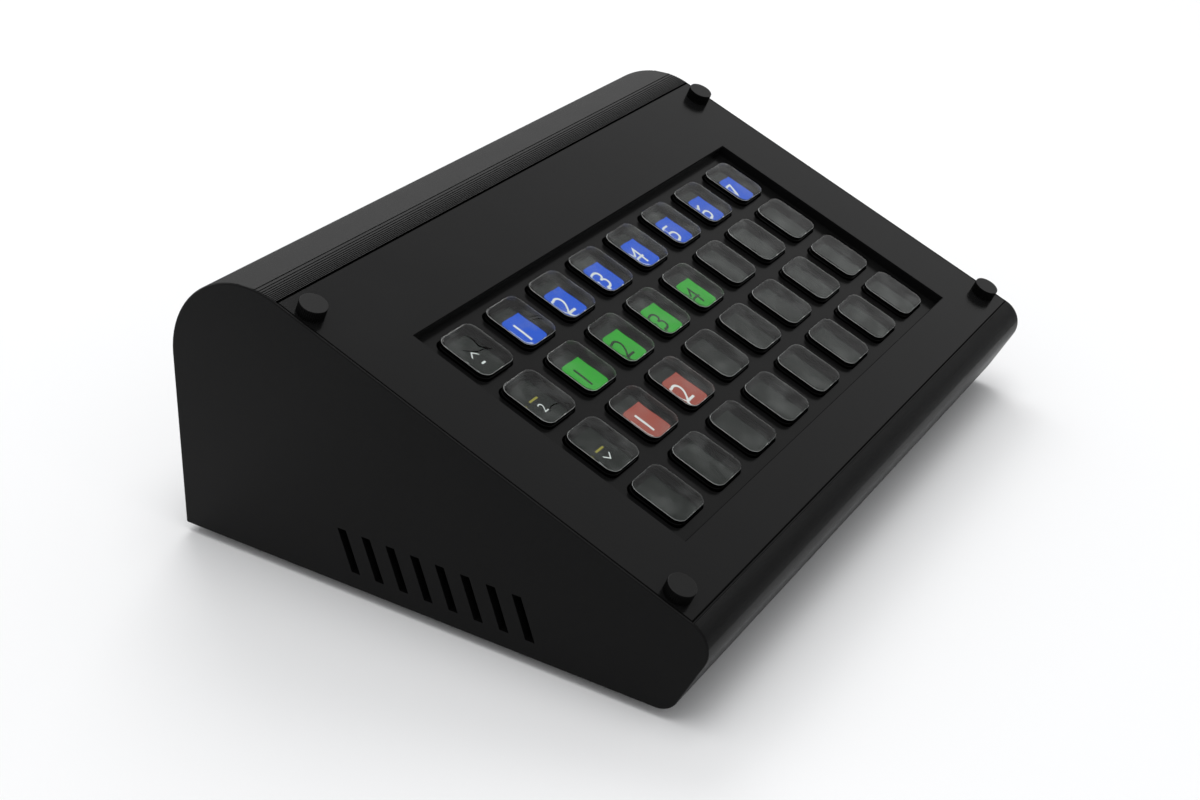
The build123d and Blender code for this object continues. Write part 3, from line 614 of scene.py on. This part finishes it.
def stair_mesh(name, outline, width, riser_finish):
    """Draw a stair's outline out to both sides, closed all round."""
    outer, inner = outline
    count = len(outer)
    x = width / 2 - STAIR_END
    vertices = [(sx * x, y, z) for sx in (-1, 1) for y, z in outer + inner]
    faces = []
    for k in range(count - 1):
        left = (k, k + 1, count + k + 1, count + k)
        faces.append(left)
        faces.append(tuple(v + 2 * count for v in reversed(left)))
        faces.append((k + 1, k, 2 * count + k, 2 * count + k + 1))
        faces.append((count + k, count + k + 1, 3 * count + k + 1, 3 * count + k))
    faces.append((0, count, 3 * count, 2 * count))
    faces.append((2 * count - 1, count - 1, 3 * count - 1, 4 * count - 1))
    mesh = new_mesh(name, vertices, faces, printed_black, riser_finish)
    # Faces that face the front take the second finish, which on the crest is a painted shade.
    for face in mesh.polygons:
        face.material_index = face.normal.y < FACES_FRONT
    return mesh


# Painted shade: near-black risers on the crest, for the shade between the beads.
groove_black = moulded("groove_black", grey(0.0005), grey(0.0008), 0.9, 0.01, (0.3, 0.01))
crest_middle = shell_high.y - CREST_RADIUS, shell_high.z - CREST_RADIUS
nose_middle = shell_low.y + NOSE_RADIUS, shell_low.z + NOSE_RISE
front_outer, front_inner = half_stair(*crest_middle, CREST_RADIUS, 0, CREST_MEETS_PLATE, -1)
rear_outer, rear_inner = half_stair(*crest_middle, CREST_RADIUS, 0, STEEPEST, 1)
crest_outline = (front_outer[::-1] + rear_outer, front_inner[::-1] + rear_inner)
nose_outline = half_stair(*nose_middle, NOSE_RADIUS, NOSE_MEETS_PLATE, STEEPEST, -1)
nose_outline = tuple(line[::-1] for line in nose_outline)
stairs = (
    ("crest_layers", crest_outline, groove_black),
    ("nose_layers", nose_outline, printed_black),
)
for name, outline, riser_finish in stairs:
    stair = add(name, stair_mesh(name, outline, shell_high.x - shell_low.x, riser_finish))
    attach(stair, "console")
    print(name, "has", len(outline[0]) // POINTS_PER_STEP, "steps")

# %% [markdown]
# ## Skins of rings
#
# The thumbscrews and the key caps have one thing in common: each is a stack of outlines with the
# same number of points, joined from one to the next. One helper makes such a skin, with a point in
# the middle of each end, and lets every band of it have a finish of its own. Where two faces meet
# at more than the sharp angle, the edge between them stays crisp, and all the rest looks round.

# %% Skins of rings
SHARP_ANGLE = 35


def skin_of_rings(name, stacks, sharp_angle=SHARP_ANGLE):
    """Closed skins in one mesh. A stack is a list of rings and a list of finish numbers: one for
    the lower end, one for each band between two rings, and one for the upper end."""
    vertices, faces, finishes = [], [], []
    for rings, bands in stacks:
        base, count = len(vertices), len(rings[0])
        vertices += [tuple(point) for ring in rings for point in ring]
        for lower in range(len(rings) - 1):
            for k in range(count):
                a, b = base + lower * count + k, base + lower * count + (k + 1) % count
                faces.append((a, b, b + count, a + count))
                finishes.append(bands[lower + 1])
        top = base + (len(rings) - 1) * count
        for ring, first, finish in ((rings[0], base, bands[0]), (rings[-1], top, bands[-1])):
            vertices.append(tuple(sum(ring, Vector()) / count))
            middle = len(vertices) - 1
            for k in range(count):
                a, b = first + k, first + (k + 1) % count
                faces.append((b, a, middle) if first == base else (a, b, middle))
                finishes.append(finish)
    mesh = new_mesh(name, vertices, faces)
    mesh.polygons.foreach_set("material_index", finishes)
    mesh.shade_smooth()
    mesh.set_sharp_from_angle(angle=radians(sharp_angle))
    return mesh


print("edges stay crisp from", SHARP_ANGLE, "degrees")

# %% [markdown]
# ## The thumbscrews
#
# Each plate corner has a thumbscrew: a flat round head with a knurled edge for the fingers, on a
# thin threaded shank that goes down through the plate. The knurling is cut as straight teeth. The
# outline of the head has four points for each tooth, and the thread is a stack of wide and narrow
# rings. The knurled band is duller and gets a painted shade: a darker colour for the light that
# gets lost between the teeth.

# %% The thumbscrews
HEAD_RADIUS, HEAD_FOOT, HEAD_TOP = 3.65 * MM, 0.02 * MM, 3.12 * MM
BEVEL = 0.12 * MM
TEETH, TOOTH_DEPTH, TOOTH_SHARP_ANGLE = 44, 0.22 * MM, 25
SHANK_RADIUS, SHANK_LENGTH, SHANK_POINTS = 1.5 * MM, 10 * MM, 32
THREAD_PITCH, THREAD_DEPTH = 0.5 * MM, 0.2 * MM
PLAIN, KNURLED = 0, 1
# Painted shade: the knurled band is darker than the rest of the head.
knurl_painted_shade = moulded("knurl_painted_shade", grey(0.0012), grey(0.002), 0.6, 0.05, (0.4, 0.01))


def round_ring(radius, z, points, notch=0.0):
    """A circle of points, with every second pair of them pulled in by notch."""
    ring = []
    for k in range(points):
        r = radius - notch * (k % 4 in (2, 3))
        turn = 2 * pi * k / points
        ring.append(Vector((r * cos(turn), r * sin(turn), z)))
    return ring


around = 4 * TEETH
head_rings = [
    round_ring(HEAD_RADIUS - 2 * BEVEL, HEAD_FOOT, around),
    round_ring(HEAD_RADIUS - BEVEL, HEAD_FOOT, around),
    round_ring(HEAD_RADIUS, HEAD_FOOT + BEVEL, around, TOOTH_DEPTH),
    round_ring(HEAD_RADIUS, HEAD_TOP - 2 * BEVEL, around, TOOTH_DEPTH),
    round_ring(HEAD_RADIUS - BEVEL / 3, HEAD_TOP - BEVEL, around),
    round_ring(HEAD_RADIUS - BEVEL / 3, HEAD_TOP - BEVEL / 3, around),
    round_ring(HEAD_RADIUS - BEVEL, HEAD_TOP, around),
]
head_bands = [PLAIN] * 2 + [KNURLED] * 3 + [PLAIN] * 3
shank_rings = []
for turn in range(int(SHANK_LENGTH / THREAD_PITCH)):
    z = turn * THREAD_PITCH - SHANK_LENGTH
    shank_rings.append(round_ring(SHANK_RADIUS - THREAD_DEPTH, z, SHANK_POINTS))
    shank_rings.append(round_ring(SHANK_RADIUS, z + THREAD_PITCH / 2, SHANK_POINTS))
shank_rings.append(round_ring(SHANK_RADIUS - THREAD_DEPTH, HEAD_FOOT + BEVEL, SHANK_POINTS))
shank_bands = [PLAIN] * (len(shank_rings) + 1)
screw_mesh = skin_of_rings(
    "thumbscrew", [(head_rings, head_bands), (shank_rings, shank_bands)], TOOTH_SHARP_ANGLE
)
screw_mesh.materials.append(thumb_black)
screw_mesh.materials.append(knurl_painted_shade)
for joint in frame["joints"]:
    if not joint["name"].startswith("thumbscrew_"):
        continue
    node = joint["name"].removesuffix("_turn")
    screw = add(f"knurled_{node}", screw_mesh)
    spot = deck.inverted() @ Vector(joint["pos_m"])
    place_on_deck(screw, spot.x, spot.y, 0)
    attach(screw, joint["child"])
    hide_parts(node)
    print(node, "at", round(spot.x / MM, 2), "across and", round(spot.y / MM, 2), "mm up the slope")

# %% [markdown]
# ## The clear key caps
#
# A key cap is a block of clear plastic with rounded corners and black sides. Its top dips a tenth
# of a millimetre in the middle, falls off gently near the edge and ends in a tight rim. At its foot
# a wider flange stops it under the frame. We build it as a stack of rounded rectangles, from the
# foot up and then in over the top. That gives exact control of the rim, where one narrow band gets
# a painted highlight: a pale colour that stands in for the light the rim catches. A small step in
# the side, where the clear block meets its black sleeve, leaves a fine line all round. The black
# goes on over the first step of the rim, the painted highlight is the second step, and the rest of
# the top is clear.

# %% The clear key caps
CAP_TOP, CAP_FOOT, LEDGE = -1.0 * MM, -5.65 * MM, -4.65 * MM
CAP_X, CAP_Y, CAP_CORNER = 14.1 / 2 * MM, 16.2 / 2 * MM, 3.0 * MM
FLANGE_X, FLANGE_Y = 15.5 / 2 * MM, 17.4 / 2 * MM
FALL, FALL_WIDTH = 0.1 * MM, 0.8 * MM
RIM, RIM_TURN = 0.24 * MM, radians(80)
STEP, STEP_HEIGHT = 0.12 * MM, -2.4 * MM
DIP, NICK = 0.1 * MM, 0.1 * MM
ARC_STEPS, SIDE_STEPS, RIM_STEPS, FALL_STEPS, DISH_RINGS = 6, 4, 4, 4, 6
CLEAR, SIDE, PAINTED_HIGHLIGHT = 0, 1, 2


def rounded_ring(half_x, half_y, corner, z):
    """Points of a rounded rectangle at height z, always the same number of them."""
    points = []
    for quarter, (sx, sy) in enumerate(((1, 1), (-1, 1), (-1, -1), (1, -1))):
        for step in range(ARC_STEPS + 1):
            turn = (quarter + step / ARC_STEPS) * pi / 2
            x = sx * (half_x - corner) + corner * cos(turn)
            y = sy * (half_y - corner) + corner * sin(turn)
            points.append(Vector((x, y, z)))
    full = []
    for index, point in enumerate(points):
        full.append(point)
        if index % (ARC_STEPS + 1) == ARC_STEPS:
            following = points[(index + 1) % len(points)]
            full += [point.lerp(following, k / SIDE_STEPS) for k in range(1, SIDE_STEPS)]
    return full


def inset_ring(inset, z):
    """The cap's outline, smaller by inset all round."""
    return rounded_ring(CAP_X - inset, CAP_Y - inset, CAP_CORNER - inset, z)


cap_rings = [
    rounded_ring(FLANGE_X - NICK, FLANGE_Y - NICK, CAP_CORNER, CAP_FOOT),
    rounded_ring(FLANGE_X, FLANGE_Y, CAP_CORNER, CAP_FOOT + NICK),
    rounded_ring(FLANGE_X, FLANGE_Y, CAP_CORNER, LEDGE - NICK),
    rounded_ring(FLANGE_X - NICK, FLANGE_Y - NICK, CAP_CORNER, LEDGE),
    inset_ring(-NICK, LEDGE),
    inset_ring(0, LEDGE + NICK),
    inset_ring(0, STEP_HEIGHT - STEP),
    inset_ring(STEP, STEP_HEIGHT),
]
# Black up the sides and over the rim's first step; the rim's second step is the painted highlight.
bands = [CLEAR] + [SIDE] * (len(cap_rings) + 1) + [PAINTED_HIGHLIGHT]
for step in range(RIM_STEPS + 1):
    turn = step / RIM_STEPS * RIM_TURN
    inset, drop = STEP + RIM * (1 - cos(turn)), FALL + RIM * (1 - sin(turn))
    cap_rings.append(inset_ring(inset, CAP_TOP - drop))
for step in range(1, FALL_STEPS + 1):
    share = step / FALL_STEPS
    inset, drop = STEP + RIM + FALL_WIDTH * share, FALL * (1 - share) ** 2
    cap_rings.append(inset_ring(inset, CAP_TOP - drop))
flat_edge = cap_rings[-1]
for step in range(1, DISH_RINGS + 1):
    size = 1 - step / (DISH_RINGS + 0.5)
    z = CAP_TOP - DIP * (1 - size**2) ** 2
    cap_rings.append([Vector((p.x * size, p.y * size, z)) for p in flat_edge])
bands += [CLEAR] * (len(cap_rings) + 1 - len(bands))
cap_mesh = skin_of_rings("key_cap", [(cap_rings, bands)])
print("one key cap:", len(cap_mesh.vertices), "points,", round(2 * CAP_X / MM, 1), "mm wide")

# %% [markdown]
# ## Clear plastic with a film
#
# The middle of a cap is as clear as glass, so the shader lets light through and bends it a little
# less than glass does. The tint of its mirror image is dark, or the white surroundings would hide
# the pictures under it. A thin film lies on each key and is not quite flat: it ripples, it has a
# faint haze, and here and there a crease. Very shallow bumps do this, and the haze is a share of
# plain grey in the clear plastic. Each key starts at its own place in the noise, or all 32 would
# have the same ripples. The sides are black and smooth, and the band round the rim is a painted
# highlight, pale where the rim would catch the light.

# %% Clear plastic with a film
RIPPLE_SIZE, RIPPLE_HEIGHT = 9 * MM, 0.05 * MM
CREASED_PATCH, CREASE_SHARE = 14 * MM, 0.2
HAZE_SIZE, CLEAREST, HAZIEST = 6 * MM, 1.15, 0.82

cap_clear, nodes, links = new_material("cap_clear")
offset = nodes.new("ShaderNodeVectorMath")
offset.operation = "ADD"
links.new(place_value(nodes), offset.inputs[0])
links.new(nodes.new("ShaderNodeObjectInfo").outputs["Random"], offset.inputs[1])
where = offset.outputs["Vector"]
ripple = noise(nodes, links, where, RIPPLE_SIZE, detail=1)
crease = nodes.new("ShaderNodeTexVoronoi")
crease.feature = "DISTANCE_TO_EDGE"
fill_in(crease, links, {"Vector": where, "Scale": 1 / CREASED_PATCH})
fold = calculate(nodes, links, "MULTIPLY", crease.outputs["Distance"], CREASE_SHARE)
raise_by(nodes, links, calculate(nodes, links, "ADD", ripple, fold), RIPPLE_HEIGHT)
haze = noise(nodes, links, where, HAZE_SIZE)
fill_in(nodes["Principled BSDF"], links, {
    "Base Color": (0.38, 0.4, 0.39), "Roughness": 0.03, "IOR": 1.45, "Specular Tint": grey(0.1),
    "Transmission Weight": spread(nodes, links, haze, CLEAREST, HAZIEST),
})
cap_side = moulded("cap_side", grey(0.0008), grey(0.0012), 0.16, 0.05, (2, 0.002))
# Painted highlight: a pale band round the rim, for the light the rim catches.
cap_rim_painted_highlight = moulded("cap_rim_painted_highlight", (0.5, 0.52, 0.51), (0.62, 0.64, 0.63), 0.3, 0.3, (1.5, 0.002))
for finish in (cap_clear, cap_side, cap_rim_painted_highlight):
    cap_mesh.materials.append(finish)

for name, (x, y) in key_places.items():
    cap = add(f"cap_{name}", cap_mesh)
    place_on_deck(cap, x, y, 0)
    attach(cap, f"{name}_body")
    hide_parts(name)
print("placed", len(key_places), "key caps")

# %% [markdown]
# ## Creases in the film
#
# On three keys the film has come loose a little and folds into fine creases. A crease is a smooth
# line through a few points that stands out of the film by about a tenth of a millimetre. We
# draw it as a curve with a round section, turn it into a mesh and let it ride on its key. The
# points are millimetres from the middle of the key, and the line gets thinner at both ends. Its
# near-black colour is a painted shade: the film is clear, and the dark line stands in for the
# shade that the fold makes.

# %% Creases in the film
FOLD, THIN_END = 0.13 * MM, 0.4
# Painted shade: the crease lines are near-black.
crease_painted_shade = moulded("crease_painted_shade", grey(0.0008), grey(0.0015), 0.8, 0.0, (1.0, 0.002))
CREASES = {
    "fold_r1_c1_a": ("key_r1_c1", [(-4.6, 2.2), (-1.3, -0.5), (1.4, -1.2), (3.6, -2.3)]),
    "fold_r1_c1_b": ("key_r1_c1", [(1.0, 5.4), (1.6, 2.6), (1.2, 0.2), (3.0, -1.8)]),
    "fold_r1_c2_a": ("key_r1_c2", [(2.2, -1.6), (4.4, -2.4), (6.0, -3.6)]),
    "fold_r1_c2_b": ("key_r1_c2", [(2.6, -0.6), (4.6, -1.2), (6.1, -2.2)]),
    "fold_r2_c1_a": ("key_r2_c1", [(-2.8, -5.2), (-1.4, -4.3), (1.1, -4.4), (4.6, -6.4)]),
}


def mesh_from(curve, finish):
    """Turn a curve or a text into a mesh with one finish, and throw the curve away."""
    maker = add("curve_maker", curve)
    bpy.context.view_layer.update()
    mesh = bpy.data.meshes.new_from_object(maker)
    bpy.data.objects.remove(maker)
    bpy.data.curves.remove(curve)
    mesh.materials.clear()
    mesh.materials.append(finish)
    return mesh


def crease_mesh(name, points):
    """A thin round line that runs smoothly through points in millimetres."""
    line = bpy.data.curves.new(name, "CURVE")
    line.dimensions = "3D"
    line.bevel_depth = FOLD
    line.bevel_resolution = 2
    line.resolution_u = 6
    spline = line.splines.new("BEZIER")
    spline.bezier_points.add(len(points) - 1)
    for knot, (x, y) in zip(spline.bezier_points, points):
        knot.co = (x * MM, y * MM, 0)
        knot.handle_left_type = knot.handle_right_type = "AUTO"
        knot.radius = 1.0
    spline.bezier_points[0].radius = spline.bezier_points[-1].radius = THIN_END
    return mesh_from(line, crease_painted_shade)


for name, (key, points) in CREASES.items():
    fold = add(name, crease_mesh(name, points))
    x, y = key_places[key]
    place_on_deck(fold, x, y, CAP_TOP - DIP / 2)
    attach(fold, f"{key}_body")
print("creases:", len(CREASES))

# %% [markdown]
# ## Pictures on the display
#
# Under the caps lies one display that shows a picture below each key. A lit picture has a dark
# strip along its upper edge and a block of colour under it: blue in the top row, green in the next
# one and a muted red in the third. We lay each block down as a thin tile that glows, a hair above
# the glass. The other keys show black, which on such a display is never quite dark.

# %% Pictures on the display
DISPLAY_TOP = -7.75 * MM
PICTURE, STRIP, TILE_THICKNESS = 14.4 * MM, 2.8 * MM, 0.01 * MM
BACKGROUND_LIFT, BLOCK_LIFT = 0.02 * MM, 0.05 * MM
PIXEL, DIM_SHARE, LIT = 0.3 * MM, 0.9, 2.4


def glowing(name, colour):
    """A display colour: it gives light of its own and hardly reflects any."""
    material, nodes, links = new_material(name)
    pixels = noise(nodes, links, place_value(nodes), PIXEL, detail=1)
    dimmer = tuple(DIM_SHARE * c for c in colour)
    fill_in(nodes["Principled BSDF"], links, {
        "Base Color": grey(0.01), "Roughness": 0.3, "Specular IOR Level": 0.05,
        "Emission Color": tint(nodes, links, pixels, dimmer, colour), "Emission Strength": LIT,
    })
    return material


blue_light = glowing("blue_light", (0.0, 0.085, 0.64))
green_light = glowing("green_light", (0.02, 0.36, 0.02))
red_light = glowing("red_light", (0.34, 0.07, 0.05))
dark_light = glowing("dark_light", (0.005, 0.0075, 0.006))
white_light = glowing("white_light", (0.75, 0.77, 0.77))
ink_light = glowing("ink_light", (0.0, 0.012, 0.001))
yellow_light = glowing("yellow_light", (0.3, 0.27, 0.04))


def tile(name, width, length, material):
    """A thin flat tile round its own middle."""
    x, y = width / 2, length / 2
    corners = [(-x, -y), (x, -y), (x, y), (-x, y)]
    points = [(px, py, z) for z in (0, TILE_THICKNESS) for px, py in corners]
    faces = [(3, 2, 1, 0), (4, 5, 6, 7), (0, 1, 5, 4), (1, 2, 6, 5), (2, 3, 7, 6), (3, 0, 4, 7)]
    return new_mesh(name, points, faces, material)


def show(name, mesh, key, lift, dx=0.0, dy=0.0):
    """Put a mesh on the display under a key, moved by dx and dy, and fix it to the console."""
    obj = add(name, mesh)
    x, y = key_places[key]
    place_on_deck(obj, x + dx, y + dy, DISPLAY_TOP + lift)
    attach(obj, "console")


picture_rows = {1: blue_light, 2: green_light, 3: red_light}
last_lit = {1: 8, 2: 5, 3: 3}
dark_tile = tile("dark_tile", PICTURE, PICTURE, dark_light)
for row in ROWS:
    for column in COLUMNS:
        key = f"key_r{row}_c{column}"
        show(f"picture_r{row}_c{column}", dark_tile, key, BACKGROUND_LIFT)
for row, material in picture_rows.items():
    block = tile(f"block_{material.name}", PICTURE, PICTURE - STRIP, material)
    for column in range(2, last_lit[row] + 1):
        key = f"key_r{row}_c{column}"
        show(f"block_r{row}_c{column}", block, key, BLOCK_LIFT, dy=-STRIP / 2)
print("pictures:", sum(last_lit.values()) - len(last_lit), "lit of", len(key_places))

# %% [markdown]
# ## Numerals and arrows
#
# Blender's own font gives clean numerals. Each is made as text, turned into a flat mesh so that it
# travels well to other programs, and laid on its square. Its outline is drawn in a little, which
# makes the strokes thinner. The arrows are two strokes that meet, and three short bars go with
# them. All of these marks are placed from the middle of their key.

# %% Numerals and arrows
MARK_LIFT = 0.08 * MM
NUMERAL_SIZE, NUMERAL_X, NUMERAL_Y = 9.5 * MM, 1.4 * MM, -1.6 * MM
PAGE_SIZE, PAGE_X, PAGE_Y = 4.4 * MM, 2.0 * MM, -1.6 * MM
INK_THICKNESS, THINNER = 0.005 * MM, -0.008
ARROW_WIDTH, ARROW_RISE, ARROW_STROKE, ARROW_THICKNESS = 3.0 * MM, 1.5 * MM, 0.4 * MM, 0.01 * MM
SLANT = 1.3
MARK_X, BAR_LENGTH = 2.2 * MM, 0.6 * MM


def numeral_mesh(text, size, material):
    """A numeral as a flat mesh, centred on its own middle."""
    words = bpy.data.curves.new(f"numeral_{text}", "FONT")
    words.body = text
    words.size = size
    words.align_x = "CENTER"
    words.align_y = "CENTER"
    words.extrude = INK_THICKNESS
    words.offset = THINNER * size
    return mesh_from(words, material)


def arrow_mesh(name, rise):
    """A chevron that points up the slope; a negative rise points it down. Its strokes slant, so
    they measure more up the slope than across."""
    x = ARROW_WIDTH / 2
    outline = [(-x, -rise / 2), (0, rise / 2), (x, -rise / 2)]
    ring = outline + [(px, py - ARROW_STROKE * SLANT) for px, py in reversed(outline)]
    count = len(ring)
    points = [(px, py, z) for z in (0, ARROW_THICKNESS) for px, py in ring]
    faces = [(0, 1, 4, 5), (1, 2, 3, 4)]
    faces += [tuple(k + count for k in reversed(face)) for face in faces]
    faces += [(k, k + count, (k + 1) % count + count, (k + 1) % count) for k in range(count)]
    return new_mesh(name, points, faces, white_light)


for row, material in ((1, white_light), (2, ink_light), (3, white_light)):
    for column in range(2, last_lit[row] + 1):
        numeral = numeral_mesh(str(column - 1), NUMERAL_SIZE, material)
        key = f"key_r{row}_c{column}"
        show(f"numeral_r{row}_c{column}", numeral, key, MARK_LIFT, NUMERAL_X, NUMERAL_Y)
page_numeral = numeral_mesh("2", PAGE_SIZE, white_light)
show("page_numeral", page_numeral, "key_r2_c1", MARK_LIFT, PAGE_X, PAGE_Y)
arrows = (
    ("arrow_up", "key_r1_c1", ARROW_RISE, 1.5),
    ("arrow_down", "key_r3_c1", -ARROW_RISE, -1.8),
)
for name, key, rise, dy in arrows:
    show(name, arrow_mesh(name, rise), key, MARK_LIFT, MARK_X, dy * MM)
bars = (
    ("bar_up", "key_r1_c1", 1.6, -2.2, white_light),
    ("bar_page", "key_r2_c1", 3.6, 1.8, yellow_light),
    ("bar_down", "key_r3_c1", 3.6, 0.8, yellow_light),
)
for name, key, width, dy, material in bars:
    bar = tile(name, width * MM, BAR_LENGTH, material)
    show(name, bar, key, MARK_LIFT, MARK_X, dy * MM)
marks = [o.name for o in scene.objects if o.name.startswith(("numeral", "page", "arrow", "bar"))]
print("numerals, arrows and bars:", len(marks))
